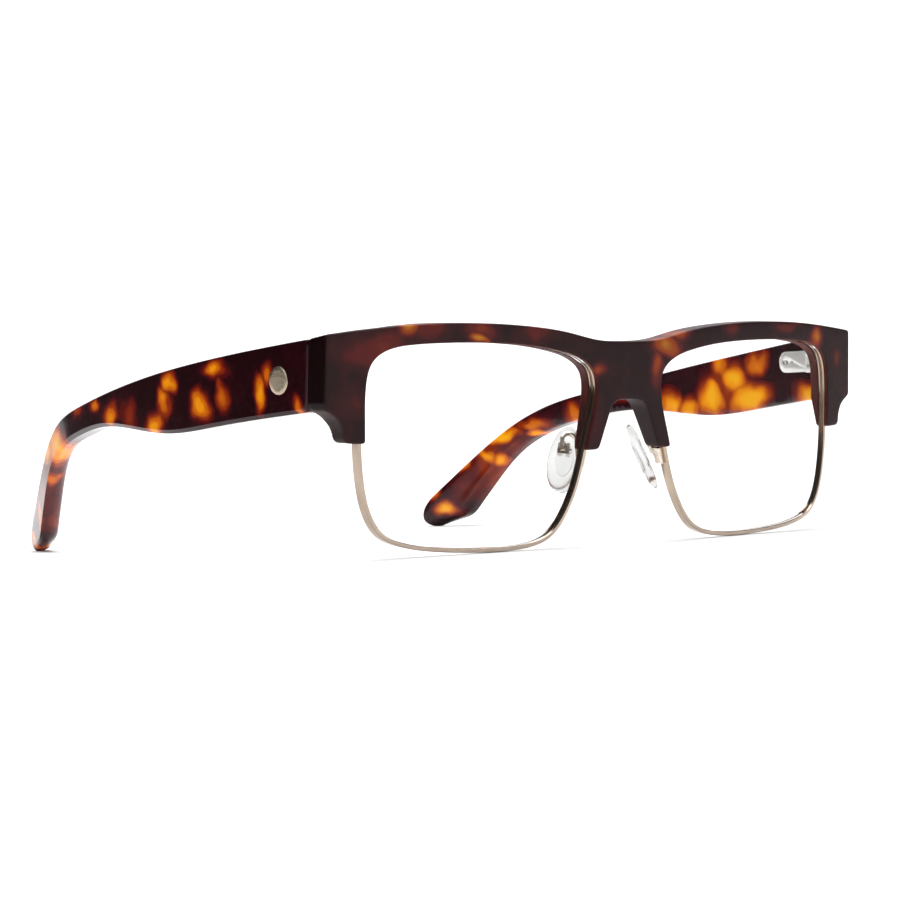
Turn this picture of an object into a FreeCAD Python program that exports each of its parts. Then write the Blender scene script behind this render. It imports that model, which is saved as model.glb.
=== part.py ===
import FreeCAD, Part
import math
import os

V = FreeCAD.Vector

# Half rim eyeglasses, in millimetres. Left and right are the wearer's, and +X is the wearer's left.
# Every paired piece is built on the left and mirrored for the right.
#
# Two frames are used while building:
#   front frame  x left, y back from the front surface, z up along the front
#   level frame  the front frame leaned back by FRONT_LEAN, which is how the glasses stand on a table
# At the end everything moves by ORIGIN_SHIFT, which puts the origin on the table at the middle of the
# footprint.

FRONT_LEAN = 3.38
FRONT_HEIGHT = 42.3
FRONT_TO_ORIGIN = 68.2
ORIGIN_SHIFT = V(0, -FRONT_TO_ORIGIN, FRONT_HEIGHT)

# front
FRONT_RADIUS = 385.0
FRONT_THICKNESS = 5.4
BUTT_DEPTH = 11.15
LIP = 1.1
RIM_DEPTH = 2.0
RIM_WIDTH = 0.9
RIM_INSET = 0.15
LEG_BOTTOM = -22.85
LUG_BOTTOM = -20.15
ARCH_TOP = -12.85
LEG_SLOPE_TOP = -14.0
LEG_BOTTOM_DEPTH = 4.0
LUG_BOTTOM_DEPTH = 3.5
TOP_LOW = V(73.9, 11.15, -0.11)
TOP_FALL = (0.1, 0.19)
BROW_TOP = [(0, -1.0), (9, -0.6), (15.4, 0.7), (25, 2.05), (42, 2.85), (56, 2.4), (76, 0.5)]
END_LOW = -14.0
END_HOLLOW = [(73.2, END_LOW), (70.2, -15.6), (69.0, -19.3)]
LUG_HEEL = [(69.0, -19.3), (68.75, -19.9), (68.1, LUG_BOTTOM)]
LUG_INNER = 58.0
LEG_OUTER = 16.0
LEG_TOE = [(9.0, LEG_BOTTOM), (8.3, -22.6), (7.95, -21.9)]
ARCH_SIDE = [(5.5, -15.6), (4.5, -13.8), (2.6, ARCH_TOP)]
LENS_OUTLINE = [
    (8.9, -10.5), (9.6, -7.2), (12.4, -4.8), (17.5, -3.1), (25, -1.85), (35, -1.15),
    (46, -1.05), (54, -1.4), (59.5, -2.4), (62.7, -4.5), (64.2, -9.0), (64.4, -16),
    (64.3, -22), (63.5, -29.2), (62.0, -34.3), (59.6, -37.6), (55, -39.6), (46, -40.9),
    (35.3, -41.4), (26.5, -41.0), (20.5, -39.2), (16.6, -35.0), (13.3, -28.0), (10.8, -19.2),
]
OUTLINE_STEPS = 96

# lens and its groove
LENS_THICKNESS = 1.7
GROOVE_WIDTH = 0.8
GROOVE_DEPTH = 0.35
LENS_CLEARANCE = 0.05

# closing blocks and screw of the eyewire, inside the lug
LOCK_SPLIT = -17.5
LOCK_SLIT = 0.15
LOCK_FRONT = 6.6
LOCK_BLOCK = (3.0, 1.8, 2.2)
LOCK_SCREW_R = 0.5
LOCK_HEAD_R = 0.8

# temple, level frame: its plan is an arc with a straight end, and its side outline starts at the butt
TEMPLE_RADIUS = 178.0
TEMPLE_ARC = (-30.0, 21.8)
TEMPLE_STRAIGHT = 30.0
TEMPLE_CENTRE = V(-99.15, 53.0, 0)
TEMPLE_THICKNESS = 4.5
SEAM_GAP = 0.15
TEMPLE_TOP = [
    (27, -1.1), (58, -4.9), (92, -10.6), (104, -13.4), (112.6, -17.6), (122, -24.6), (134.2, -35.0),
]
TEMPLE_BOTTOM = [
    (123.4, -37.4), (118.3, -31.0), (112.4, -24.6), (103, -19.3), (91, -16.4), (78, -14.9),
    (66, -15.6), (52, -16.75), (38, -15.75),
]
TEMPLE_BUTT_TOP = 0.5
TEMPLE_BUTT_BOTTOM = -13.5
TIP_REAR = (137.0, -43.4)
TIP_FRONT = (124.9, -39.6)
TIP_ROUND = 2.0

# flat wire in the temple
CORE_LINE = [(31, -8.6), (60, -10.6), (90, -13.7), (104, -17.0), (113, -21.3), (121, -28.2), (128, -35.2)]
CORE_HEIGHT = 2.4
CORE_DEPTHS = (1.6, 2.8)

# badge on the temple
BADGE_CENTRE = (18.9, -7.2)
BADGE_SIZE = (5.6, 4.8)
BADGE_DEPTH = 0.5
BADGE_PROUD = 0.12

# hinge, in its own frame: origin on the screw's axis, x away from the nose, y back along the temple
HINGE_X = 67.2
HINGE_Y = 13.3
HINGE_Z = -5.3
HINGE_SPLAY = 10.6
KNUCKLE_R = 1.5
KNUCKLE_HALF = 2.6
MIDDLE_HALF = 0.85
KNUCKLE_GAP = 0.05
SCREW_R = 0.55
SCREW_CLEARANCE = 0.05
SCREW_HEAD_R = 0.95
SCREW_HEAD = 0.5
LEAF_X = (65.0, 68.9)
LEAF_FRONT = 9.3
HOUSING_X = (1.6, 3.8)
HOUSING_Y = (2.4, 14.6)
HOUSING_HALF = 2.35
TONGUE_X = (2.1, 3.3)
TONGUE_Y = (1.0, 5.0)
ROD_X = 2.7
ROD_R = 0.4
ROD_END = 13.1
CHAMBER_R = 0.95
CHAMBER_Y = (5.9, 13.8)
STOP_R = 0.85
STOP_Y = (12.3, 13.1)
HOUSING_SLOT_Y = (11.6, 12.8)
HOUSING_SLOT_R = 0.4
HOUSING_DOT_Y = 9.6
HOUSING_DOT_R = 0.25
SPRING_R = 0.66
SPRING_WIRE_R = 0.13
SPRING_TURNS = 7

# nose pad, in its own frame: origin at the pad's centre, x across, y up its length, z towards the nose
PAD_CENTRE = V(10.9, 7.9, -25.2)
PAD_UP = V(-0.364, 0.205, 0.907)
PAD_FACING = V(-0.69, 0.59, -0.41)
PAD_LENGTH = 14.6
PAD_WIDTH = 7.0
PAD_THICKNESS = 2.6
PAD_FACE_RADIUS = 16.0
PAD_BACK_RADIUS = 60.0
PAD_CORE = (3.6, 7.6, 0.5)
PAD_CORE_Z = -0.75
BOX_SIZE = 2.4
BOX_Z = (-3.7, -1.8)
PAD_PIVOT_Z = -2.45
PAD_EYE_Y = 1.2
PAD_EYE_R = 0.8
PAD_EYE_WIDTH = 0.9
PAD_SLOT = 1.0
PAD_SCREW_R = 0.4
PAD_SCREW_CLEARANCE = 0.05

# wire that carries the pad, front frame
WIRE_R = 0.45
WIRE_START = V(11.0, 3.75, -25.2)
WIRE_TURN = V(9.95, 5.4, -21.4)
WIRE_END = V(0, 0.6, -3.95)
FOOT_CENTRE = V(10.95, 2.9, -24.75)
FOOT_SIZE = (0.9, 2.0, 3.3)
FOOT_SLANT = 16.0


def box(low, high):
    return Part.makeBox(high[0] - low[0], high[1] - low[1], high[2] - low[2], V(*low))


def rod(radius, start, end):
    return Part.makeCylinder(radius, (end - start).Length, start, end - start)


def curve(points, closed=False):
    spline = Part.BSplineCurve()
    spline.interpolate(Points=points, PeriodicFlag=closed)
    return spline


def line(start, end):
    return Part.LineSegment(start, end).toShape()


def mirrored(shape):
    return shape.mirror(V(0, 0, 0), V(1, 0, 0))


def leaned(shape):
    """From the front frame to the level frame."""
    result = shape.copy()
    result.rotate(V(0, 0, 0), V(1, 0, 0), FRONT_LEAN)
    return result


def at_hinge(shape):
    """From the hinge's frame to the level frame."""
    result = shape.copy()
    result.rotate(V(0, 0, 0), V(0, 0, 1), -HINGE_SPLAY)
    result.translate(V(HINGE_X, HINGE_Y, HINGE_Z))
    return result


def at_pad(shape):
    """From the nose pad's frame to the front frame."""
    z = V(PAD_FACING).normalize()
    y = (PAD_UP - z * PAD_UP.dot(z)).normalize()
    x = y.cross(z)
    turn = FreeCAD.Matrix(
        x.x, y.x, z.x, PAD_CENTRE.x,
        x.y, y.y, z.y, PAD_CENTRE.y,
        x.z, y.z, z.z, PAD_CENTRE.z,
        0, 0, 0, 1)
    return shape.transformed(turn, copy=True)


def front_slab(near, far):
    """The curved layer from near to far behind the front surface."""
    base = V(0, FRONT_RADIUS, -70)
    outer = Part.makeCylinder(FRONT_RADIUS - near, 100, base)
    inner = Part.makeCylinder(FRONT_RADIUS - far, 100, base)
    return outer.cut(inner)


def lens_face(offset):
    """A flat face bounded by the lens outline grown by offset, on the plane y = 0."""
    outline = curve([V(x, 0, z) for x, z in LENS_OUTLINE], closed=True)
    first, last = outline.FirstParameter, outline.LastParameter
    points = []
    for step in range(OUTLINE_STEPS):
        u = first + (last - first) * step / OUTLINE_STEPS
        along = V(*outline.tangent(u)[0])
        outward = V(-along.z, 0, along.x)
        points.append(outline.value(u) + outward * offset)
    return Part.Face(Part.Wire(curve(points, closed=True).toShape()))


def lens_prism(offset):
    face = lens_face(offset)
    face.translate(V(0, -5, 0))
    return face.extrude(V(0, 30, 0))


def rim_ring(inner, outer, near, far):
    ring = lens_prism(outer).cut(lens_prism(inner))
    return ring.common(front_slab(near, far))


def temple_line(radius):
    """The plan of a layer of the temple: its arc's start, middle and end, and where the layer stops."""
    first, last = [math.radians(angle) for angle in TEMPLE_ARC]
    points = []
    for angle in (first, (first + last) / 2, last):
        points.append(TEMPLE_CENTRE + V(math.cos(angle), math.sin(angle), 0) * radius)
    along = V(-math.sin(last), math.cos(last), 0)
    return points + [points[-1] + along * TEMPLE_STRAIGHT]


def temple_slab(near, far):
    """The layer from near to far inside the temple's outer surface."""
    outer = temple_line(TEMPLE_RADIUS - near)
    inner = temple_line(TEMPLE_RADIUS - far)
    edges = [Part.Arc(*outer[:3]).toShape(), line(outer[2], outer[3]), line(outer[3], inner[3])]
    edges += [line(inner[3], inner[2]), Part.Arc(*reversed(inner[:3])).toShape(), line(inner[0], outer[0])]
    plan = Part.Face(Part.Wire(edges))
    plan.translate(V(0, 0, -70))
    return plan.extrude(V(0, 0, 100))


def butt_y(z):
    """Depth of the seam plane at a height in the level frame."""
    lean = math.radians(FRONT_LEAN)
    return BUTT_DEPTH / math.cos(lean) - z * math.tan(lean)


def eyewire():
    outer = RIM_INSET + RIM_WIDTH
    ring = rim_ring(RIM_INSET, outer, LIP, LIP + RIM_DEPTH)
    middle = LIP + RIM_DEPTH / 2
    groove = rim_ring(0, RIM_INSET + GROOVE_DEPTH, middle - GROOVE_WIDTH / 2, middle + GROOVE_WIDTH / 2)
    slit = box((60, 0, LOCK_SPLIT - LOCK_SLIT / 2), (70, 20, LOCK_SPLIT + LOCK_SLIT / 2))
    return ring.cut(groove).cut(slit)


def lens():
    middle = LIP + RIM_DEPTH / 2
    layer = front_slab(middle - LENS_THICKNESS / 2, middle + LENS_THICKNESS / 2)
    tongue = front_slab(middle - GROOVE_WIDTH / 2, middle + GROOVE_WIDTH / 2)
    body = lens_prism(RIM_INSET - LENS_CLEARANCE).common(layer)
    edge = lens_prism(RIM_INSET + GROOVE_DEPTH).common(tongue)
    return body.fuse(edge).removeSplitter()


def lock_place():
    """Corner of the upper block nearest to the nose, front and table, in the front frame."""
    return V(LENS_OUTLINE[11][0] + RIM_INSET + RIM_WIDTH, LOCK_FRONT, LOCK_SPLIT + LOCK_SLIT / 2)


def lock_axis():
    corner = lock_place()
    return corner.x + LOCK_BLOCK[0] / 2 + 0.1, corner.y + LOCK_BLOCK[1] / 2


def lock_blocks():
    corner = lock_place()
    size = V(*LOCK_BLOCK)
    upper = Part.makeBox(size.x, size.y, size.z, corner)
    lower = Part.makeBox(size.x, size.y, size.z, corner - V(0, 0, size.z + LOCK_SLIT))
    ring = rim_ring(-1, RIM_INSET + RIM_WIDTH, 0, FRONT_THICKNESS + 2)
    shaft = lock_screw()
    return [block.cut(ring).cut(shaft) for block in (upper, lower)]


def lock_screw():
    x, y = lock_axis()
    bottom = LOCK_SPLIT - LOCK_SLIT / 2 - LOCK_BLOCK[2]
    shaft = rod(LOCK_SCREW_R, V(x, y, bottom), V(x, y, LOCK_SPLIT + LOCK_BLOCK[2] - 0.4))
    head = rod(LOCK_HEAD_R, V(x, y, bottom - 0.3), V(x, y, bottom))
    slot = box((x - LOCK_HEAD_R, y - 0.1, bottom - 0.3), (x + LOCK_HEAD_R, y + 0.1, bottom - 0.15))
    return shaft.fuse(head).removeSplitter().cut(slot)


def lock_recess():
    """Room in the lug for the blocks, the screw's head and a screwdriver."""
    corner = lock_place()
    size = V(*LOCK_BLOCK)
    low = corner - V(2, 0, size.z + LOCK_SLIT)
    blocks = box((low.x, low.y, low.z), (corner.x + size.x, corner.y + size.y, corner.z + size.z))
    x, y = lock_axis()
    access = rod(LOCK_HEAD_R + 0.1, V(x, y, LUG_BOTTOM - 1), V(x, y, low.z))
    return blocks.fuse(access)


def front_line(*points):
    """Straight edges through points of the front."""
    return Part.makePolygon([V(x, 0, z) for x, z in points]).Edges


def front_arc(points):
    return Part.Arc(*[V(x, 0, z) for x, z in points]).toShape()


def brow_outline():
    """Half of the brow's outline; the lens opening is cut out of it later."""
    side = BROW_TOP[-1][0]
    edges = [curve([V(x, 0, z) for x, z in BROW_TOP]).toShape()]
    edges += front_line(BROW_TOP[-1], (side, END_LOW), END_HOLLOW[0])
    edges += [front_arc(END_HOLLOW), front_arc(LUG_HEEL)]
    edges += front_line(LUG_HEEL[-1], (LUG_INNER, LUG_BOTTOM), (LEG_OUTER, LEG_BOTTOM), LEG_TOE[0])
    edges.append(front_arc(LEG_TOE))
    edges += front_line(LEG_TOE[-1], ARCH_SIDE[0])
    edges.append(front_arc(ARCH_SIDE))
    edges += front_line(ARCH_SIDE[-1], (0, ARCH_TOP), BROW_TOP[0])
    return Part.Wire(edges)


def top_slope():
    """The block above the end piece's top, which falls back to the temple's top edge."""
    corners = []
    for x, y in ((80, 4), (80, 14), (40, 14), (40, 4)):
        fall = TOP_FALL[0] * (x - TOP_LOW.x) + TOP_FALL[1] * (y - TOP_LOW.y)
        corners.append(V(x, y, TOP_LOW.z - fall))
    face = Part.Face(Part.makePolygon(corners + corners[:1]))
    return face.extrude(V(0, 0, 20))


def leg_slope():
    """The wedge cut off the rear of a nose leg, which thins it towards its bottom."""
    top = V(0, FRONT_THICKNESS + 0.1, LEG_SLOPE_TOP)
    bottom = V(0, LEG_BOTTOM_DEPTH, LEG_BOTTOM)
    beyond = bottom + (bottom - top)
    corners = [top, beyond, V(0, 12, beyond.z), V(0, 12, top.z)]
    face = Part.Face(Part.makePolygon(corners + corners[:1]))
    return face.extrude(V(20, 0, 0))


def lug_slope():
    """The wedge cut off the rear of a lug, which thins it from the end piece's bottom down."""
    front = LUG_HEEL[-1][0] ** 2 / (2 * FRONT_RADIUS)
    top = V(LUG_INNER, BUTT_DEPTH, END_LOW)
    bottom = V(LUG_INNER, front + LUG_BOTTOM_DEPTH, LUG_BOTTOM)
    beyond = bottom + (bottom - top)
    corners = [top, beyond, V(LUG_INNER, 16, beyond.z), V(LUG_INNER, 16, top.z)]
    face = Part.Face(Part.makePolygon(corners + corners[:1]))
    return face.extrude(V(20, 0, 0))


def leaf_anchor():
    """The leaf's block in the end piece, with the neck that carries the knuckles."""
    low, high = HINGE_Z - KNUCKLE_HALF, HINGE_Z + KNUCKLE_HALF
    block = box((LEAF_X[0], LEAF_FRONT, low), (LEAF_X[1], butt_y(low), high))
    neck = box((HINGE_X - KNUCKLE_R, LEAF_FRONT, low), (HINGE_X + KNUCKLE_R, HINGE_Y, high))
    return block.fuse(neck)


def brow_half():
    prism = Part.Face(brow_outline())
    prism.translate(V(0, -5, 0))
    prism = prism.extrude(V(0, 30, 0))
    plate = prism.common(front_slab(0, FRONT_THICKNESS))
    plate = plate.common(box((-1, -5, -60), (90, BUTT_DEPTH, 20)))
    plate = plate.cut(lens_prism(0))
    plate = plate.cut(rim_ring(-1, RIM_INSET + RIM_WIDTH, LIP, LIP + RIM_DEPTH))
    plate = plate.cut(lock_recess()).cut(leg_slope()).cut(lug_slope()).cut(top_slope())
    plate = leaned(plate)
    plate = plate.common(Part.makeCylinder(TEMPLE_RADIUS, 100, TEMPLE_CENTRE + V(0, 0, -70)))
    return plate.cut(leaf_anchor())


def brow_front():
    half = brow_half()
    return half.fuse(mirrored(half)).removeSplitter()


def hinge_front_leaf():
    half = KNUCKLE_HALF
    barrel = rod(KNUCKLE_R, V(HINGE_X, HINGE_Y, HINGE_Z - half), V(HINGE_X, HINGE_Y, HINGE_Z + half))
    leaf = leaf_anchor().fuse(barrel).removeSplitter()
    gap = MIDDLE_HALF + KNUCKLE_GAP
    room_front = HINGE_Y - KNUCKLE_R - 0.15
    room = box((HINGE_X - 3, room_front, HINGE_Z - gap), (HINGE_X + 3, HINGE_Y + 3, HINGE_Z + gap))
    axis = V(HINGE_X, HINGE_Y, HINGE_Z)
    reach = V(0, 0, KNUCKLE_HALF + 1)
    return leaf.cut(room).cut(rod(SCREW_R + SCREW_CLEARANCE, axis - reach, axis + reach))


def hinge_screw():
    half = KNUCKLE_HALF
    shaft = rod(SCREW_R, V(0, 0, -half), V(0, 0, half + 0.03))
    head = rod(SCREW_HEAD_R, V(0, 0, half + 0.03), V(0, 0, half + 0.03 + SCREW_HEAD))
    slot = box((-1, -0.12, half + 0.3), (1, 0.12, half + 1))
    return at_hinge(shaft.fuse(head).removeSplitter().cut(slot))


def hinge_slider():
    half = MIDDLE_HALF
    barrel = rod(KNUCKLE_R, V(0, 0, -half), V(0, 0, half))
    neck = box((0, 0, -half), (TONGUE_X[1], 2.0, half))
    tongue = box((TONGUE_X[0], TONGUE_Y[0], -half), (TONGUE_X[1], TONGUE_Y[1], half))
    pin = rod(ROD_R, V(ROD_X, TONGUE_Y[1] - 0.5, 0), V(ROD_X, ROD_END, 0))
    hole = rod(SCREW_R + SCREW_CLEARANCE, V(0, 0, -2), V(0, 0, 2))
    return at_hinge(barrel.fuse([neck, tongue, pin]).removeSplitter().cut(hole))


def hinge_stop():
    collar = rod(STOP_R, V(ROD_X, STOP_Y[0], 0), V(ROD_X, STOP_Y[1], 0))
    return at_hinge(collar.cut(rod(ROD_R, V(ROD_X, 0, 0), V(ROD_X, 20, 0))))


def hinge_spring():
    start = CHAMBER_Y[0] + SPRING_WIRE_R + 0.02
    length = STOP_Y[0] - SPRING_WIRE_R - 0.02 - start
    helix = Part.makeHelix(length / SPRING_TURNS, length, SPRING_R)
    section = Part.Wire(Part.makeCircle(SPRING_WIRE_R, V(SPRING_R, 0, 0), V(0, 1, 0)))
    coil = Part.Wire(helix).makePipeShell([section], True, True)
    coil.rotate(V(0, 0, 0), V(1, 0, 0), -90)
    coil.translate(V(ROD_X, start, 0))
    return at_hinge(coil)


def housing_block():
    low_x, high_x = HOUSING_X
    front, back = HOUSING_Y
    half = HOUSING_HALF
    block = box((low_x, front, -half), (high_x, back - half, half))
    end = rod(half, V(low_x, back - half, 0), V(high_x, back - half, 0))
    return block.fuse(end).removeSplitter()


def hinge_housing():
    half = MIDDLE_HALF + KNUCKLE_GAP
    channel = box((TONGUE_X[0] - 0.05, 0, -half), (TONGUE_X[1] + 0.05, TONGUE_Y[1] + 0.2, half))
    passage = rod(ROD_R + 0.06, V(ROD_X, 0, 0), V(ROD_X, 10, 0))
    chamber = rod(CHAMBER_R, V(ROD_X, CHAMBER_Y[0], 0), V(ROD_X, CHAMBER_Y[1], 0))
    block = housing_block().cut(channel).cut(passage).cut(chamber)
    return at_hinge(block.cut(housing_slot()))


def housing_slot():
    """The slot through which the spring's end is seen, and the small hole beside it."""
    low, high = HOUSING_SLOT_Y
    far = HOUSING_X[0] + 0.5
    slot = box((0, low, -HOUSING_SLOT_R), (far, high, HOUSING_SLOT_R))
    ends = [rod(HOUSING_SLOT_R, V(0, y, 0), V(far, y, 0)) for y in (low, high)]
    dot = rod(HOUSING_DOT_R, V(0, HOUSING_DOT_Y, 0), V(far, HOUSING_DOT_Y, 0))
    return slot.fuse([*ends, dot])


def hinge_slot():
    """Room in the temple's inner face for the slider's neck."""
    clearance = 0.3
    half = MIDDLE_HALF + clearance
    return at_hinge(box((-2, -6, -half), (TONGUE_X[1] + clearance, HOUSING_Y[0] + 0.5, half)))


def side_prism(wire):
    """A side outline on the plane x = 0, carried right across the temple."""
    return Part.Face(wire).extrude(V(100, 0, 0))


def temple_outline():
    top_start = V(0, butt_y(TEMPLE_BUTT_TOP) + SEAM_GAP, TEMPLE_BUTT_TOP)
    bottom_end = V(0, butt_y(TEMPLE_BUTT_BOTTOM) + SEAM_GAP, TEMPLE_BUTT_BOTTOM)
    top = [top_start] + [V(0, y, z) for y, z in TEMPLE_TOP]
    bottom = [V(0, y, z) for y, z in TEMPLE_BOTTOM] + [bottom_end]
    rear, front = V(0, *TIP_REAR), V(0, *TIP_FRONT)
    edges = [
        curve(top).toShape(),
        line(top[-1], rear),
        line(rear, front),
        line(front, bottom[0]),
        curve(bottom).toShape(),
        line(bottom_end, top_start),
    ]
    return Part.Wire(edges)


def tip_corners(solid):
    """Edges across the temple at the corners of its tip."""
    found = []
    for edge in solid.Edges:
        middle = edge.BoundBox.Center
        across = edge.BoundBox.XLength > 50
        if across and middle.y > 120:
            found.append(edge)
    return found


def core_outline():
    half = CORE_HEIGHT / 2
    upper = [V(0, y, z + half) for y, z in CORE_LINE]
    lower = [V(0, y, z - half) for y, z in reversed(CORE_LINE)]
    ends = [line(upper[-1], lower[0]), line(lower[-1], upper[0])]
    return Part.Wire([curve(upper).toShape(), ends[0], curve(lower).toShape(), ends[1]])


def temple_core():
    return side_prism(core_outline()).common(temple_slab(*CORE_DEPTHS))


def badge_prism():
    y, z = BADGE_CENTRE
    ellipse = Part.Ellipse(V(0, y, z), BADGE_SIZE[0] / 2, BADGE_SIZE[1] / 2).toShape()
    flat = Part.Wire(ellipse)
    flat.rotate(V(0, y, z), V(0, 1, 0), 90)
    return side_prism(flat)


def temple_badge():
    return badge_prism().common(temple_slab(-BADGE_PROUD, BADGE_DEPTH))


def temple():
    prism = side_prism(temple_outline())
    prism = prism.makeFillet(TIP_ROUND, tip_corners(prism))
    arm = prism.common(temple_slab(0, TEMPLE_THICKNESS))
    arm = arm.cut(at_hinge(housing_block()))
    arm = arm.cut(hinge_slot())
    arm = arm.cut(temple_core())
    return arm.cut(badge_prism().common(temple_slab(-1, BADGE_DEPTH)))


def pad_solid():
    prism = Part.Wire(Part.Ellipse(V(0, 0, 0), PAD_LENGTH / 2, PAD_WIDTH / 2).toShape())
    prism.rotate(V(0, 0, 0), V(0, 0, 1), 90)
    prism = Part.Face(prism)
    prism.translate(V(0, 0, -5))
    prism = prism.extrude(V(0, 0, 10))
    face = Part.makeSphere(PAD_FACE_RADIUS, V(0, 0, PAD_THICKNESS / 2 - PAD_FACE_RADIUS))
    back = Part.makeSphere(PAD_BACK_RADIUS, V(0, 0, PAD_BACK_RADIUS - PAD_THICKNESS / 2))
    return prism.common(face).common(back)


def pivot_rod(radius, start, end):
    """A rod along the axis that the pad rocks on, in the pad's frame."""
    return rod(radius, V(start, PAD_EYE_Y, PAD_PIVOT_Z), V(end, PAD_EYE_Y, PAD_PIVOT_Z))


def core_solid():
    width, length, thickness = PAD_CORE
    plate = Part.Wire(Part.Ellipse(V(0, 0, 0), length / 2, width / 2).toShape())
    plate.rotate(V(0, 0, 0), V(0, 0, 1), 90)
    plate = Part.Face(plate)
    plate.translate(V(0, 0, PAD_CORE_Z))
    plate = plate.extrude(V(0, 0, thickness))
    half = PAD_EYE_WIDTH / 2
    eye = pivot_rod(PAD_EYE_R, -half, half)
    low, high = PAD_EYE_Y - PAD_EYE_R, PAD_EYE_Y + PAD_EYE_R
    stem = box((-half, low, PAD_PIVOT_Z), (half, high, PAD_CORE_Z + thickness / 2))
    return plate.fuse([eye, stem]).removeSplitter()


def nose_pad_core():
    return at_pad(core_solid().cut(pivot_rod(PAD_SCREW_R + PAD_SCREW_CLEARANCE, -3, 3)))


def nose_pad():
    return at_pad(pad_solid().cut(core_solid()))


def nose_pad_screw():
    end = BOX_SIZE / 2
    shaft = pivot_rod(PAD_SCREW_R, -end, end)
    head = pivot_rod(PAD_SCREW_R + 0.3, end, end + 0.35)
    slot = box((end + 0.2, PAD_EYE_Y - 1, PAD_PIVOT_Z - 0.09), (end + 1, PAD_EYE_Y + 1, PAD_PIVOT_Z + 0.09))
    return at_pad(shaft.fuse(head).removeSplitter().cut(slot))


def nose_pad_box():
    half = BOX_SIZE / 2
    block = box((-half, PAD_EYE_Y - half, BOX_Z[0]), (half, PAD_EYE_Y + half, BOX_Z[1]))
    floor = PAD_PIVOT_Z - PAD_EYE_R - 0.1
    slot = box((-PAD_SLOT / 2, PAD_EYE_Y - 2, floor), (PAD_SLOT / 2, PAD_EYE_Y + 2, 0))
    return at_pad(block.cut(slot).cut(pivot_rod(PAD_SCREW_R, -3, 3)))


def nose_pad_arm():
    """The foot beside the rim, a slanted rise, a half turn and a straight end behind the box."""
    along = (WIRE_TURN - WIRE_START).normalize()
    end = at_pad(Part.Vertex(WIRE_END)).Point
    across = end - WIRE_TURN
    across -= along * across.dot(along)
    rise = rod(WIRE_R, WIRE_START, WIRE_TURN)
    section = Part.Face(Part.Wire(Part.makeCircle(WIRE_R, WIRE_TURN, along)))
    loop = section.revolve(WIRE_TURN + across * 0.5, along.cross(across), 180)
    drop = rod(WIRE_R, WIRE_TURN + across, end)
    foot = Part.makeBox(*FOOT_SIZE, V(*FOOT_SIZE) * -0.5)
    foot.rotate(V(0, 0, 0), V(0, 1, 0), -FOOT_SLANT)
    foot.translate(FOOT_CENTRE)
    wire = rise.fuse([loop, drop, foot]).removeSplitter()
    ring = rim_ring(-1, RIM_INSET + RIM_WIDTH, 0, LIP + RIM_DEPTH)
    return wire.cut(ring).cut(nose_pad_box())


FRONT_PIECES = {
    "eyewire": eyewire,
    "lens": lens,
    "rim_lock_screw": lock_screw,
    "nose_pad_arm": nose_pad_arm,
    "nose_pad_box": nose_pad_box,
    "nose_pad_screw": nose_pad_screw,
    "nose_pad_core": nose_pad_core,
    "nose_pad": nose_pad,
}

LEVEL_PIECES = {
    "hinge_front_leaf": hinge_front_leaf,
    "hinge_screw": hinge_screw,
    "hinge_slider": hinge_slider,
    "hinge_stop": hinge_stop,
    "hinge_spring": hinge_spring,
    "hinge_housing": hinge_housing,
    "temple": temple,
    "temple_core": temple_core,
    "temple_badge": temple_badge,
}


def save(name, shape):
    placed = shape.copy()
    placed.translate(ORIGIN_SHIFT)
    placed.exportStep("parts/" + name + ".step")
    bounds = placed.optimalBoundingBox(False, False)
    low = [round(v, 2) for v in (bounds.XMin, bounds.YMin, bounds.ZMin)]
    high = [round(v, 2) for v in (bounds.XMax, bounds.YMax, bounds.ZMax)]
    print(name, len(placed.Solids), placed.isValid(), round(placed.Volume, 2), low, high)


def save_pair(name, shape):
    save(name + "_left", shape)
    save(name + "_right", mirrored(shape))


os.makedirs("parts", exist_ok=True)
save("brow_front", brow_front())
save_pair("rim_lock_block", leaned(Part.makeCompound(lock_blocks())))
for piece_name, build in FRONT_PIECES.items():
    save_pair(piece_name, leaned(build()))
for piece_name, build in LEVEL_PIECES.items():
    save_pair(piece_name, build())
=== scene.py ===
import bpy
import bmesh
import math
import numpy as np
from mathutils import Matrix, Vector
from mathutils.geometry import delaunay_2d_cdt


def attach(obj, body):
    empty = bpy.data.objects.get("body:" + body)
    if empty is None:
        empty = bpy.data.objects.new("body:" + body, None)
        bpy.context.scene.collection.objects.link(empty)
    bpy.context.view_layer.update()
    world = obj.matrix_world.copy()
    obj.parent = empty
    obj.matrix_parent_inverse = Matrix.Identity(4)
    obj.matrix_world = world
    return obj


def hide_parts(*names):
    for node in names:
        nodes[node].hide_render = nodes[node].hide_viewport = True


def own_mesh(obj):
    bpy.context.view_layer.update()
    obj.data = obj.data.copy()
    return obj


# Half rim eyeglasses. Shapes are worked out in millimetres in the two frames the CAD part uses, and go to
# metres in the row frame when a mesh is made:
#   front frame  x to the wearer's left, y back from the front surface, z up along the front
#   level frame  the front frame leaned back by FRONT_LEAN
# Pieces are made for the left side and mirrored for the right.

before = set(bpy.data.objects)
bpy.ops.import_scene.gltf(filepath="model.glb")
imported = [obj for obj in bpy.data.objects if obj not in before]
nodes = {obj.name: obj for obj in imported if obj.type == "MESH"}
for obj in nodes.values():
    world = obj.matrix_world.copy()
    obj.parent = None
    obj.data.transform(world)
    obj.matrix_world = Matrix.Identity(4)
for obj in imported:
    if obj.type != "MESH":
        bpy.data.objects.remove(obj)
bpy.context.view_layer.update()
scene = bpy.context.scene

MM = 0.001
FRONT_LEAN = math.radians(3.38)
LEVEL_ORIGIN = Vector((0, -68.2, 42.3))

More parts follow.
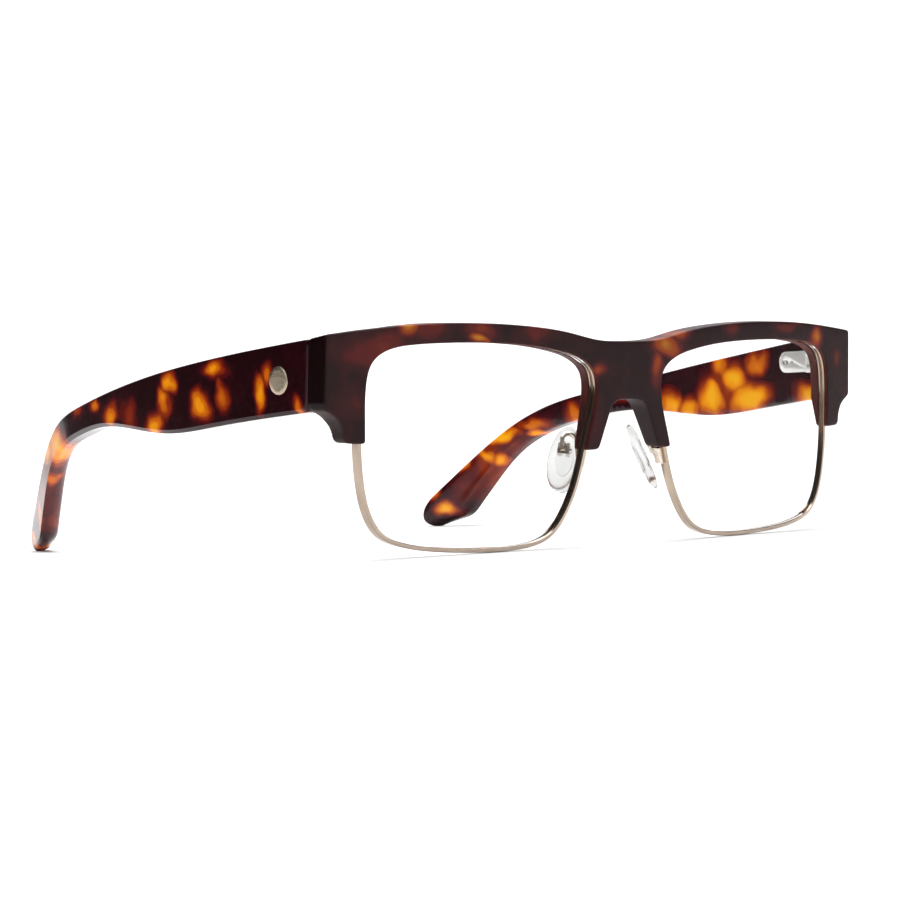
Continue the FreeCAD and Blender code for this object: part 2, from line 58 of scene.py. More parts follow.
# front: outlines across and up, depths behind the front surface
FRONT_RADIUS = 385.0
THICKNESS = 5.4
BUTT_DEPTH = 11.15
LIP = 1.1
END_SIDE = 73.0
END_SHEAR_START = 68.4
LEG_BOTTOM = -22.85
LEG_WITHIN = 20.0
LEG_SLOPE_TOP = -14.0
LEG_BOTTOM_DEPTH = 4.0
LUG_BOTTOM = -20.15
LUG_BEYOND = 55.0
LUG_SLOPE_TOP = -14.0
LUG_BOTTOM_DEPTH = 3.5
ARCH_TOP = -12.85
TOP_LOW = Vector((73.9, 11.15, -0.11))
TOP_FALL = (0.1, 0.19)
TOP_FALL_BEYOND = 45.0
TOP_FALL_BASE = -8.0
BROW_TOP = [(0, -1.0), (9, -0.6), (15.4, 0.7), (25, 2.05), (42, 2.85), (56, 2.4), (73, 0.72)]
END_LOW = -13.5
END_HOLLOW = [(72.4, -14.0), (70.1, -15.6), (69.0, -19.3)]
LUG_HEEL = [(69.0, -19.3), (68.75, -19.9), (68.1, LUG_BOTTOM)]
LEG_TOE = [(9.0, LEG_BOTTOM), (8.3, -22.6), (7.95, -21.9)]
ARCH_SIDE = [(5.5, -15.6), (4.5, -13.8), (2.6, ARCH_TOP)]
LENS_MIDDLE = 40.0
LENS_OUTLINE = [
    (8.9, -10.5), (9.6, -7.2), (12.4, -4.8), (17.5, -3.1), (25, -1.85), (35, -1.15),
    (46, -1.05), (54, -1.4), (59.5, -2.4), (62.7, -4.5), (64.2, -9.0), (64.4, -16),
    (64.3, -22), (63.5, -29.2), (62.0, -34.3), (59.6, -37.6), (55, -39.6), (46, -40.9),
    (35.3, -41.4), (26.5, -41.0), (20.5, -39.2), (16.6, -35.0), (13.3, -28.0), (10.8, -19.2),
]
BROW_ROUND = 0.45
LIP_ROUND = 0.3
CHANNEL_LIP = 0.1
CHANNEL_STEP = 0.05
LUG_HOLE = (67.05, 7.5, 0.9)
LUG_HOLE_TOP = -17.6

# eyewire: offsets outwards from the lens outline, and depths
RIM_DEPTH = 2.0
RIM_INNER = 0.15
RIM_OUTER = 1.05
RIM_CLEARANCE = 0.15
RIM_CORNER = 0.15
RIM_INNER_CORNER = 0.12
GROOVE = (1.7, 2.5)
GROOVE_FLARE = 0.02
GROOVE_FLOOR = 0.48

# temple, level frame: its plan is an arc with a straight end, its side outline is back and up
TEMPLE_RADIUS = 178.0
TEMPLE_CENTRE = (-99.15, 53.0)
TEMPLE_THICKNESS = 4.5
SEAM_GAP = 0.15
TEMPLE_TURN = math.radians(21.8)
TEMPLE_TOP = [
    (27, -1.1), (58, -4.9), (92, -10.6), (104, -13.4), (112.6, -17.6), (122, -24.6), (134.2, -35.0),
]
TEMPLE_BOTTOM = [
    (123.4, -37.4), (118.3, -31.0), (112.4, -24.6), (103, -19.3), (91, -16.4), (78, -14.9),
    (66, -15.6), (52, -16.75), (38, -15.75),
]
TEMPLE_BUTT_TOP = 0.5
TEMPLE_BUTT_BOTTOM = -13.5
TIP_END = [(134.2, -35.0), (135.8, -37.2), (136.4, -39.2), (136.0, -41.2), (134.4, -42.3), (131.6, -41.7)]
TIP_HEEL = [(126.8, -40.2), (125.1, -39.3), (123.4, -37.4)]
TEMPLE_ROUND = 0.6
TEMPLE_BEVEL = 0.75
BEVEL_LAND = 0.1
DROP_START = 90.0
DROP_FULL = 108.0
DROP_ROUND = (1.5, 2.6)
TIP_START = 122.0
TIP_FULL = 132.0
TIP_SOFTEN = 1.0

# badge on the temple's outer face, level frame
BADGE_CENTRE = (18.9, -7.2)
BADGE_HALF = (2.4, 2.8)
BADGE_PROUD = 0.12
BADGE_BEVEL = 0.3
BADGE_EDGE = (0.04, 0.06)
BADGE_SUNK = 0.4

# nose pad: its place in the front frame, then its own sizes
PAD_CENTRE = Vector((10.9, 7.9, -25.2))
PAD_UP = Vector((-0.364, 0.205, 0.907))
PAD_FACING = Vector((-0.69, 0.59, -0.41))
PAD_LENGTH = 14.6
PAD_WIDTH = 7.0
PAD_FRONT = 1.3
PAD_REAR = 1.1
PAD_TAPER = 0.10
PAD_FULLNESS = 0.7
PAD_FACE_CROWN = 0.9
PAD_BACK_CROWN = 0.6

# spacing of the points on the front's outlines and the temples'
STEP = 0.4
TEMPLE_STEP = 0.5


# ---------------------------------------------------------------- frames

def from_level(x, y, z):
    """From the level frame to the row frame."""
    return (Vector((x, y, z)) + LEVEL_ORIGIN) * MM


def from_front(x, y, z):
    """From the front frame to the row frame."""
    c, s = math.cos(FRONT_LEAN), math.sin(FRONT_LEAN)
    return from_level(x, y * c - z * s, z * c + y * s)


def temple_x(y, depth):
    """x of the layer at a depth inside the temple's outer surface: an arc, then a straight end."""
    radius = TEMPLE_RADIUS - depth
    turn_y = TEMPLE_CENTRE[1] + radius * math.sin(TEMPLE_TURN)
    if y > turn_y:
        return TEMPLE_CENTRE[0] + radius * math.cos(TEMPLE_TURN) - (y - turn_y) * math.tan(TEMPLE_TURN)
    return TEMPLE_CENTRE[0] + math.sqrt(radius ** 2 - (y - TEMPLE_CENTRE[1]) ** 2)


def smoothstep(low, high, value):
    t = min(max((value - low) / (high - low), 0), 1)
    return t * t * (3 - 2 * t)


# ---------------------------------------------------------------- outlines

def spaced(points, step=STEP):
    """Points at even spacing along a polyline, without its last one."""
    p = np.array(points, float)
    run = np.concatenate([[0], np.cumsum(np.linalg.norm(np.diff(p, axis=0), axis=1))])
    count = max(1, round(run[-1] / step))
    at = np.linspace(0, run[-1], count + 1)[:-1]
    return np.stack([np.interp(at, run, p[:, k]) for k in range(p.shape[1])], 1)


def cubic(points, closed=False):
    """Many points on the smooth cubic curve through the given ones."""
    p = np.array(list(points) + list(points[:1] if closed else []), float)
    chord = np.linalg.norm(np.diff(p, axis=0), axis=1)
    knots = np.concatenate([[0], np.cumsum(chord)])
    slope = np.diff(p, axis=0) / chord[:, None]
    n = len(p)
    system = np.eye(n)
    right = np.zeros_like(p)
    for i in range(1, n - 1):
        system[i, i - 1:i + 2] = chord[i - 1], 2 * (chord[i - 1] + chord[i]), chord[i]
        right[i] = 6 * (slope[i] - slope[i - 1])
    if closed:
        system[0, -1] = -1
        system[-1] = 0
        system[-1, [0, 1, -2, -1]] = 2 * chord[0], chord[0], chord[-1], 2 * chord[-1]
        right[-1] = 6 * (slope[0] - slope[-1])
    bend = np.linalg.solve(system, right)
    at = np.linspace(0, knots[-1], 24 * n)
    i = np.clip(np.searchsorted(knots, at, side="right") - 1, 0, n - 2)
    h = chord[i][:, None]
    a = (knots[i + 1] - at)[:, None]
    b = (at - knots[i])[:, None]
    return (bend[i] * a ** 3 + bend[i + 1] * b ** 3) / (6 * h) \
        + (p[i] / h - bend[i] * h / 6) * a + (p[i + 1] / h - bend[i + 1] * h / 6) * b


def arc(start, through, end):
    """Points on the circle through three points."""
    (ax, ay), (bx, by), (cx, cy) = start, through, end
    d = 2 * (ax * (by - cy) + bx * (cy - ay) + cx * (ay - by))
    a2, b2, c2 = ax * ax + ay * ay, bx * bx + by * by, cx * cx + cy * cy
    ux = (a2 * (by - cy) + b2 * (cy - ay) + c2 * (ay - by)) / d
    uy = (a2 * (cx - bx) + b2 * (ax - cx) + c2 * (bx - ax)) / d
    radius = math.hypot(ax - ux, ay - uy)
    first = math.atan2(ay - uy, ax - ux)
    turn = math.atan2(cy - uy, cx - ux) - first
    if d > 0:
        turn %= math.tau
    else:
        turn = turn % math.tau - math.tau
    return [(ux + radius * math.cos(first + turn * k / 24), uy + radius * math.sin(first + turn * k / 24))
            for k in range(25)]


def softened(points, times):
    """A closed outline with its corners rounded a little."""
    p = np.array(points, float)
    for _ in range(times):
        p = (np.roll(p, 1, 0) + 2 * p + np.roll(p, -1, 0)) / 4
    return p


def normals(points):
    """Outward normals of a closed outline that runs anticlockwise."""
    along = np.roll(points, -1, 0) - np.roll(points, 1, 0)
    along /= np.linalg.norm(along, axis=1)[:, None]
    return np.stack([along[:, 1], -along[:, 0]], 1)


def anticlockwise(points):
    x, y = points[:, 0], points[:, 1]
    return np.sum(x * np.roll(y, -1) - np.roll(x, -1) * y) > 0


def lens_curve():
    return cubic(LENS_OUTLINE, closed=True)


# ---------------------------------------------------------------- mesh making

def add_object(name, data):
    thing = bpy.data.objects.new(name, data)
    scene.collection.objects.link(thing)
    return thing


def mesh_object(name, vertices, faces, material, mirror=False, angle=35):
    """A piece from points in the row frame, in metres."""
    if mirror:
        vertices = [Vector((-v[0], v[1], v[2])) for v in vertices]
    mesh = bpy.data.meshes.new(name)
    mesh.from_pydata([tuple(v) for v in vertices], [], faces)
    tidy = bmesh.new()
    tidy.from_mesh(mesh)
    bmesh.ops.remove_doubles(tidy, verts=tidy.verts, dist=1e-7)
    bmesh.ops.recalc_face_normals(tidy, faces=tidy.faces)
    tidy.to_mesh(mesh)
    tidy.free()
    mesh.shade_smooth()
    mesh.set_sharp_from_angle(angle=math.radians(angle))
    mesh.materials.append(material)
    piece = add_object(name, mesh)
    even = piece.modifiers.new("even_shading", "WEIGHTED_NORMAL")
    even.keep_sharp = True
    return piece


def filled(outline, spacing):
    """A triangle net inside an outline: its points, its faces by number, and the outline points each one
    stands for."""
    low, high = outline.min(0), outline.max(0)
    inner = []
    rows = int((high[1] - low[1]) / (spacing * 0.866)) + 1
    for row in range(rows):
        y = low[1] + row * spacing * 0.866
        shift = spacing / 2 * (row % 2)
        for x in np.arange(low[0] + shift, high[0], spacing):
            if np.min(np.hypot(outline[:, 0] - x, outline[:, 1] - y)) > spacing * 0.55:
                inner.append((x, y))
    count = len(outline)
    points = [Vector(p) for p in outline] + [Vector(p) for p in inner]
    edges = [(i, (i + 1) % count) for i in range(count)]
    found, _, faces, origin, _, _ = delaunay_2d_cdt(points, edges, [], 1, 1e-6)
    return found, faces, [[k for k in source if k < count] for source in origin]


def plate(name, outline, rows, place, material, mirror=False, spacing=1.2):
    """A solid plate. Each of rows gives the inset and depth of every outline point, from front to rear."""
    if not anticlockwise(outline):
        outline = outline[::-1]
        rows = [(inset[::-1], depth[::-1]) for inset, depth in rows]
    outward = normals(outline)
    count = len(outline)
    vertices, faces = [], []
    for inset, depth in rows:
        ring = outline - outward * inset[:, None]
        vertices += [place(u, v, d) for (u, v), d in zip(ring, depth)]
    for row in range(len(rows) - 1):
        for i in range(count):
            j = (i + 1) % count
            a, b = row * count, (row + 1) * count
            faces.append((a + i, a + j, b + j, b + i))
    for row, base in ((0, 0), (len(rows) - 1, (len(rows) - 1) * count)):
        inset, depth = rows[row]
        ring = outline - outward * inset[:, None]
        points, triangles, on_ring = filled(ring, spacing)
        level = float(np.mean(depth))
        numbers = []
        for point, known in zip(points, on_ring):
            if known:
                numbers.append(base + known[0])
            else:
                numbers.append(len(vertices))
                vertices.append(place(point.x, point.y, level))
        faces += [tuple(numbers[k] for k in face) for face in triangles]
    return mesh_object(name, vertices, faces, material, mirror)


def quarter(radius, steps=4):
    """Inset and depth from the face to the wall round an edge."""
    angles = [math.pi / 2 * k / steps for k in range(steps + 1)]
    return [(radius * (1 - math.sin(a)), radius * (1 - math.cos(a))) for a in angles]


def sweep(name, path, profile, place, material, mirror=False):
    """A closed ring: a profile of offsets and depths carried round an outline."""
    outward = normals(path)
    count, sides = len(path), len(profile)
    vertices = []
    for (u, v), (nu, nv) in zip(path, outward):
        vertices += [place(u + nu * offset, v + nv * offset, depth) for offset, depth in profile]
    faces = []
    for i in range(count):
        j = (i + 1) % count
        for k in range(sides):
            m = (k + 1) % sides
            faces.append((i * sides + k, j * sides + k, j * sides + m, i * sides + m))
    return mesh_object(name, vertices, faces, material, mirror)


# ---------------------------------------------------------------- brow

def sloped_depth(v, top, bottom, bottom_depth):
    """Depth of the back at a height, where it thins from the full thickness towards its lower end."""
    share = min(max((top - v) / (top - bottom), 0), 1)
    return THICKNESS + (bottom_depth - THICKNESS) * share


def brow_place(u, v, depth):
    """A point of the brow: u across, v up, and depth behind the front surface, in the front frame."""
    across = abs(u)
    front = across ** 2 / (2 * FRONT_RADIUS)
    rear = min(THICKNESS, BUTT_DEPTH - front)
    if across < LEG_WITHIN:
        rear = min(rear, sloped_depth(v, LEG_SLOPE_TOP, LEG_BOTTOM, LEG_BOTTOM_DEPTH))
    if across > LUG_BEYOND:
        rear = min(rear, sloped_depth(v, LUG_SLOPE_TOP, LUG_BOTTOM, LUG_BOTTOM_DEPTH))
    behind_rim = LIP + RIM_DEPTH + RIM_CLEARANCE
    if depth > behind_rim:
        depth = behind_rim + (depth - behind_rim) * (rear - behind_rim) / (THICKNESS - behind_rim)
    y = front + depth
    level_y = y * math.cos(FRONT_LEAN) - v * math.sin(FRONT_LEAN)
    shear = smoothstep(END_SHEAR_START, END_SIDE, across)
    x = across + (temple_x(level_y, 0) - END_SIDE) * shear
    slope = TOP_LOW.z - TOP_FALL[0] * (x - TOP_LOW.x) - TOP_FALL[1] * (y - TOP_LOW.y)
    drop = max(0, brow_top(across) - slope) if across > TOP_FALL_BEYOND else 0
    z = v - drop * smoothstep(TOP_FALL_BASE, brow_top(across), v)
    return from_front(math.copysign(x, u), y, z)


TOP_CURVE = cubic(BROW_TOP)


def brow_top(across):
    return float(np.interp(across, TOP_CURVE[:, 0], TOP_CURVE[:, 1]))


def lens_point(lens, height, outer):
    """The number of the lens outline's point at a height, on its outer or its inner side."""
    on_side = [i for i, (u, v) in enumerate(lens) if (u > LENS_MIDDLE) == outer]
    return min(on_side, key=lambda i: abs(lens[i][1] - height))


def brow_outline():
    """The whole outline, with 1 for each point on a lens opening and 0 for the others."""
    lens = spaced(lens_curve())
    start = lens_point(lens, LUG_BOTTOM, True)
    finish = lens_point(lens, LEG_BOTTOM, False)
    step = 1 if lens[(start + 3) % len(lens)][1] > lens[start][1] else -1
    opening = []
    i = start
    while i != finish:
        opening.append(tuple(lens[i]))
        i = (i + step) % len(lens)
    opening.append(tuple(lens[finish]))
    parts = [
        (TOP_CURVE, 0),
        ([(END_SIDE, BROW_TOP[-1][1]), (END_SIDE, END_LOW)], 0),
        ([(END_SIDE, END_LOW), END_HOLLOW[0]], 0),
        (arc(*END_HOLLOW), 0),
        (arc(*LUG_HEEL), 0),
        ([LUG_HEEL[-1], opening[0]], 0),
        (opening, 1),
        ([opening[-1], LEG_TOE[0]], 0),
        (arc(*LEG_TOE), 0),
        ([LEG_TOE[-1], ARCH_SIDE[0]], 0),
        (arc(*ARCH_SIDE), 0),
        ([ARCH_SIDE[-1], (0, ARCH_TOP)], 0),
    ]
    points, open_side = [], []
    for part, on_lens in parts:
        sampled = spaced(part)
        points += [tuple(p) for p in sampled]
        open_side += [on_lens] * len(sampled)
    other = [(-x, y) for x, y in reversed(points[1:])]
    other_side = list(reversed(open_side[1:]))
    return softened(points + [(0, ARCH_TOP)] + other, 3), np.array(open_side + [0] + other_side, float)


def brow_rows(open_side):
    """Insets and depths for the brow: plain walls, and a channel for the rim round the lens openings."""
    back = LIP + RIM_DEPTH
    wall = [LIP - CHANNEL_LIP, LIP, LIP + CHANNEL_STEP, back - CHANNEL_STEP, back, back + CHANNEL_LIP]
    channel = [0, CHANNEL_LIP, RIM_OUTER, RIM_OUTER, CHANNEL_LIP, 0]
    outer = quarter(BROW_ROUND) + [(0, d) for d in wall]
    outer += [(i, THICKNESS - d) for i, d in reversed(quarter(BROW_ROUND))]
    inner = quarter(LIP_ROUND) + list(zip(channel, wall))
    inner += [(i, THICKNESS - d) for i, d in reversed(quarter(LIP_ROUND))]
    rows = []
    for (oi, od), (li, ld) in zip(outer, inner):
        rows.append((oi + (li - oi) * open_side, od + (ld - od) * open_side))
    return rows


# ---------------------------------------------------------------- eyewire

def rim_place(u, v, depth):
    return from_front(u, u * u / (2 * FRONT_RADIUS) + depth, v)


def rim_profile():
    """The wire's section, with the lens groove in its inner side."""
    front, back = LIP, LIP + RIM_DEPTH
    groove_front, groove_back = GROOVE
    return [
        (RIM_INNER, front + RIM_CORNER),
        (RIM_INNER + RIM_INNER_CORNER, front),
        (RIM_OUTER - RIM_CORNER, front),
        (RIM_OUTER, front + RIM_CORNER),
        (RIM_OUTER, back - RIM_CORNER),
        (RIM_OUTER - RIM_CORNER, back),
        (RIM_INNER + RIM_INNER_CORNER, back),
        (RIM_INNER, back - RIM_INNER_CORNER),
        (RIM_INNER, groove_back + GROOVE_FLARE),
        (GROOVE_FLOOR, groove_back),
        (GROOVE_FLOOR, groove_front),
        (RIM_INNER, groove_front - GROOVE_FLARE),
    ]


def rim_path():
    """The lens outline, anticlockwise."""
    path = spaced(lens_curve())
    return path if anticlockwise(path) else path[::-1]


# ---------------------------------------------------------------- temple

def butt_y(z):
    """Where the end piece stops and the temple starts, at a height."""
    return BUTT_DEPTH / math.cos(FRONT_LEAN) - z * math.tan(FRONT_LEAN)


def temple_place(u, v, depth):
    return from_level(temple_x(u, depth), u, v)


def temple_outline():
    """The side outline, with 1 for each point along its bottom edge and 0 for the others."""
    top_start = (butt_y(TEMPLE_BUTT_TOP) + SEAM_GAP, TEMPLE_BUTT_TOP)
    bottom_end = (butt_y(TEMPLE_BUTT_BOTTOM) + SEAM_GAP, TEMPLE_BUTT_BOTTOM)
    parts = [
        (cubic([top_start] + TEMPLE_TOP), 0),
        (cubic(TIP_END), 0),
        ([TIP_END[-1], TIP_HEEL[0]], 1),
        (cubic(TIP_HEEL), 1),
        (cubic(TEMPLE_BOTTOM + [bottom_end]), 1),
        ([bottom_end, top_start], 0),
    ]
    points, low_edge = [], []
    for part, bottom in parts:
        sampled = spaced(part, TEMPLE_STEP)
        points += [tuple(p) for p in sampled]
        low_edge += [bottom] * len(sampled)
    weights = np.array(low_edge, float)
    for _ in range(6):
        weights = (np.roll(weights, 1) + 2 * weights + np.roll(weights, -1)) / 4
    return softened(points, 2), weights


def temple_rows(outline, low_edge):
    """Insets and depths for a temple: small rounded edges, a flat bevel along the outer bottom edge, and
    inner edges that become broad and round on the drop."""
    bevel = [(TEMPLE_BEVEL + BEVEL_LAND, 0), (TEMPLE_BEVEL, 0), (TEMPLE_BEVEL / 2, TEMPLE_BEVEL / 2),
             (0, TEMPLE_BEVEL), (0, TEMPLE_BEVEL + BEVEL_LAND)]
    drop = np.array([smoothstep(DROP_START, DROP_FULL, y) for y in outline[:, 0]])
    inset = TEMPLE_ROUND + (DROP_ROUND[0] - TEMPLE_ROUND) * drop
    depth = TEMPLE_ROUND + (DROP_ROUND[1] - TEMPLE_ROUND) * drop
    tip = 1 + TIP_SOFTEN * np.array([smoothstep(TIP_START, TIP_FULL, y) for y in outline[:, 0]])
    rows = []
    for (ri, rd), (bi, bd) in zip(quarter(TEMPLE_ROUND), bevel):
        share = low_edge * (2 - tip)
        rows.append((ri * tip + (bi - ri * tip) * share, rd * tip + (bd - rd * tip) * share))
    for share_in, share_deep in reversed(quarter(1.0, steps=8)):
        rows.append((share_in * inset, TEMPLE_THICKNESS - share_deep * depth))
    return rows


def badge_piece(name, material, mirror):
    """An oval inlay that stands just proud, with a bevelled edge."""
    y, z = BADGE_CENTRE
    turns = [math.tau * k / 72 for k in range(72)]
    oval = np.array([(y + BADGE_HALF[0] * math.cos(t), z + BADGE_HALF[1] * math.sin(t)) for t in turns])
    same = np.ones(len(oval))
    edge = [(BADGE_BEVEL, -BADGE_PROUD), (BADGE_EDGE[0], 0), (0, BADGE_EDGE[1]), (0, BADGE_SUNK)]
    rows = [(inset * same, depth * same) for inset, depth in edge]
    return plate(name, oval, rows, temple_place, material, mirror, spacing=0.5)


# ---------------------------------------------------------------- pad

def pad_place(x, y, z):
    """From the pad's own frame, x across, y up its length and z towards the nose."""
    facing = PAD_FACING.normalized()
    up = (PAD_UP - facing * PAD_UP.dot(facing)).normalized()
    across = up.cross(facing)
    point = PAD_CENTRE + across * x + up * y + facing * z
    return from_front(point.x, point.y, point.z)


def pad_piece(name, material, mirror):
    """A soft drop: rings from the middle of its face, round its edge, to the middle of its back."""
    around, rings = 64, 25
    vertices, faces = [], []
    for ring in range(1, rings):
        angle = math.pi * ring / rings
        reach = math.sin(angle) ** PAD_FULLNESS
        height = math.cos(angle)
        if height > 0:
            thick = PAD_FRONT * height ** PAD_FACE_CROWN
        else:
            thick = -PAD_REAR * (-height) ** PAD_BACK_CROWN
        for k in range(around):
            turn = math.tau * k / around
            taper = 1 - PAD_TAPER * math.sin(turn)
            x = PAD_WIDTH / 2 * reach * math.cos(turn) * taper
            y = PAD_LENGTH / 2 * reach * math.sin(turn)
            vertices.append(pad_place(x, y, thick))
    top, bottom = len(vertices), len(vertices) + 1
    vertices += [pad_place(0, 0, PAD_FRONT), pad_place(0, 0, -PAD_REAR)]
    for ring in range(rings - 2):
        for k in range(around):
            m = (k + 1) % around
            a, b = ring * around, (ring + 1) * around
            faces.append((a + k, b + k, b + m, a + m))
    last = (rings - 2) * around
    for k in range(around):
        m = (k + 1) % around
        faces += [(top, k, m), (bottom, last + m, last + k)]
    return mesh_object(name, vertices, faces, material, mirror, angle=60)


# ---------------------------------------------------------------- standing for CAD nodes

def stand_in(piece, node, body):
    """Let a piece take a CAD node's place."""
    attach(piece, body)
    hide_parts(node)


def cut_lug_holes(piece):
    """The screwdriver's way into each lug, from underneath."""
    x, y, radius = LUG_HOLE
    drill = bmesh.new()
    for side in (-1, 1):
        low, high = from_front(side * x, y, LUG_BOTTOM - 1), from_front(side * x, y, LUG_HOLE_TOP)
        turn = (high - low).to_track_quat("Z", "X").to_matrix().to_4x4()
        place = Matrix.Translation((low + high) / 2) @ turn
        bmesh.ops.create_cone(drill, cap_ends=True, segments=32, radius1=radius * MM,
                              radius2=radius * MM, depth=(high - low).length, matrix=place)
    mesh = bpy.data.meshes.new("drill")
    drill.to_mesh(mesh)
    drill.free()
    tool = add_object("drill", mesh)
    cut = piece.modifiers.new("lug_holes", "BOOLEAN")
    cut.object = tool
    cut.operation = "DIFFERENCE"
    piece.modifiers.move(len(piece.modifiers) - 1, 0)
    cut_mesh = bpy.data.meshes.new_from_object(piece.evaluated_get(bpy.context.evaluated_depsgraph_get()))
    piece.modifiers.remove(cut)
    piece.data = cut_mesh
    bpy.data.objects.remove(tool)


def softened_metal(node, body, width):
    """A copy of a CAD node with its edges broken, so that they catch the light."""
    source = nodes[node]
    mesh = source.data.copy()
    shape = bmesh.new()
    shape.from_mesh(mesh)
    bmesh.ops.remove_doubles(shape, verts=shape.verts, dist=1e-6)
    bmesh.ops.dissolve_limit(shape, angle_limit=math.radians(1), verts=shape.verts, edges=shape.edges)
    shape.to_mesh(mesh)
    shape.free()
    piece = add_object(node + "_soft", mesh)
    mesh.shade_smooth()
    bevel = piece.modifiers.new("broken_edges", "BEVEL")
    bevel.width = width * MM
    bevel.segments = 2
    bevel.limit_method = "ANGLE"
    bevel.angle_limit = math.radians(40)
    bevel.harden_normals = True
    stand_in(piece, node, body)


def squeezed_spring(side):
    """The CAD spring again, as a copy of its own that goes with the temple."""
    node = "hinge_spring_" + side
    piece = add_object("coil_" + side, nodes[node].data.copy())
    stand_in(piece, node, "side_arm_" + side)
    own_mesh(piece)


# ---------------------------------------------------------------- materials

BUMP_DEPTH = 0.05
BRUSH_DEPTH = 0.02
ACETATE_IOR = 1.49
CLOUD_SCALE = 120
FINE_SCALE = 420
POLISH_SCALE = 900
# where a warm spot's glow starts to fade and where it ends, as a share of its half widths
SPOT_FADE = (0.1, 1.75)
# distances from the middle of the brow, in mm; the first two bound the painted glow round the lens
# openings, and the share after them is how strongly that glow is mixed in
EDGE_GLOW_START = (8.6, 9.0)
EDGE_GLOW_END = (65.6, 66.2)
EDGE_GLOW_SHARE = 0.42
END_FACES = (70.0, 71.5)


class Nodes:
    """A material's nodes, added one after another."""

    def __init__(self, name):
        self.material = bpy.data.materials.new(name)
        self.material.use_nodes = True
        self.tree = self.material.node_tree
        self.shader = self.tree.nodes["Principled BSDF"]

    def add(self, kind, settings=None, **inputs):
        node = self.tree.nodes.new(kind)
        for key, value in (settings or {}).items():
            setattr(node, key, value)
        for key, value in inputs.items():
            self.set(node, key.replace("_", " "), value)
        return node

    def set(self, node, key, value):
        socket = node.inputs[int(key)] if key.isdigit() else node.inputs[key]
        if isinstance(value, bpy.types.NodeSocket):
            self.tree.links.new(value, socket)
        else:
            socket.default_value = value

    def point(self):
        return self.add("ShaderNodeTexCoord").outputs["Object"]

    def noise(self, point, scale, detail=3.0, rough=0.5):
        return self.add("ShaderNodeTexNoise", None, Vector=point, Scale=scale, Detail=detail,
                        Roughness=rough)

    def math(self, operation, a, b=0.0):
        node = self.add("ShaderNodeMath", {"operation": operation})
        self.set(node, "0", a)
        self.set(node, "1", b)
        return node.outputs[0]

    def vector(self, operation, a, b=None, scale=None):
        node = self.add("ShaderNodeVectorMath", {"operation": operation})
        self.set(node, "0", a)
        if b is not None:
            self.set(node, "1", b)
        if scale is not None:
            node.inputs["Scale"].default_value = scale
        return node.outputs["Value"] if operation == "LENGTH" else node.outputs[0]

    def ramp(self, value, stops):
        node = self.add("ShaderNodeValToRGB")
        node.color_ramp.interpolation = "EASE"
        while len(node.color_ramp.elements) < len(stops):
            node.color_ramp.elements.new(1.0)
        for element, (at, colour) in zip(node.color_ramp.elements, stops):
            element.position = at
            element.color = (*colour, 1)
        self.set(node, "Fac", value)
        return node.outputs["Color"]

    def range(self, value, low, high, out_low=0.0, out_high=1.0, smooth=False):
        node = self.add("ShaderNodeMapRange", {"interpolation_type": "SMOOTHSTEP" if smooth else "LINEAR"})
        for index, number in enumerate((value, low, high, out_low, out_high)):
            self.set(node, str(index), number)
        return node.outputs[0]

    def bump(self, height, strength, depth):
        """Depth in mm."""
        node = self.add("ShaderNodeBump", None, Height=height, Strength=strength, Distance=depth * MM)
        self.set(self.shader, "Normal", node.outputs["Normal"])


def tortoise(name, spots, stops, warp, haze, grain):
    """Acetate: warm flames with wide red edges in dark brown, with a fine grain in its polish.

    warp gives the scale and reach of each noise that bends the flames, haze is the strength of the cloud
    over them, and grain is the scale and strength of the bump.
    """
    m = Nodes(name)
    point = m.point()
    moved = point
    for scale, reach in warp:
        swirl = m.noise(point, scale, 2.0, 0.5).outputs["Color"]
        swirl = m.vector("SUBTRACT", swirl, (0.5, 0.5, 0.5))
        moved = m.vector("ADD", moved, m.vector("SCALE", swirl, scale=reach))
    total = None
    for (x, y, z), (rx, ry, rz), strength in spots:
        offset = m.vector("SUBTRACT", moved, tuple(from_level(x, y, z)))
        spread = m.vector("DIVIDE", offset, (rx * MM, ry * MM, rz * MM))
        reach = m.vector("LENGTH", spread)
        glow = m.range(reach, *SPOT_FADE, strength, 0.0, smooth=True)
        total = glow if total is None else m.math("MAXIMUM", total, glow)
    cloud = m.noise(moved, CLOUD_SCALE, 3, 0.55).outputs["Fac"]
    fine = m.noise(point, FINE_SCALE, 4, 0.6).outputs["Fac"]
    value = m.math("ADD", total, m.range(cloud, 0.3, 0.75, -haze / 2, haze))
    value = m.math("ADD", value, m.range(fine, 0.3, 0.7, -0.02, 0.02))
    m.set(m.shader, "Base Color", m.ramp(value, stops))
    m.shader.inputs["IOR"].default_value = ACETATE_IOR
    m.bump(m.noise(point, grain[0], 4, 0.6).outputs["Fac"], grain[1], BUMP_DEPTH)
    return m


def polish(m, low, high, sides=None):
    """Roughness of an acetate; sides gives the lower roughness of faces that look sideways at the ends."""
    value = m.range(m.noise(m.point(), POLISH_SCALE, 3).outputs["Fac"], 0.3, 0.7, low, high)
    if sides is not None:
        share = side_mask(m)
        value = m.math("ADD", m.math("MULTIPLY", value, m.math("SUBTRACT", 1.0, share)),
                       m.math("MULTIPLY", share, sides))
    m.set(m.shader, "Roughness", value)


def tint(m, share, colour):
    """Mix a colour into the base colour by a share."""
    old = m.shader.inputs["Base Color"].links[0].from_socket
    mixed = m.add("ShaderNodeMix", {"data_type": "RGBA"})
    m.tree.links.new(share, mixed.inputs[0])
    m.tree.links.new(old, mixed.inputs[6])
    mixed.inputs[7].default_value = (*colour, 1)
    m.tree.links.new(mixed.outputs[2], m.shader.inputs["Base Color"])


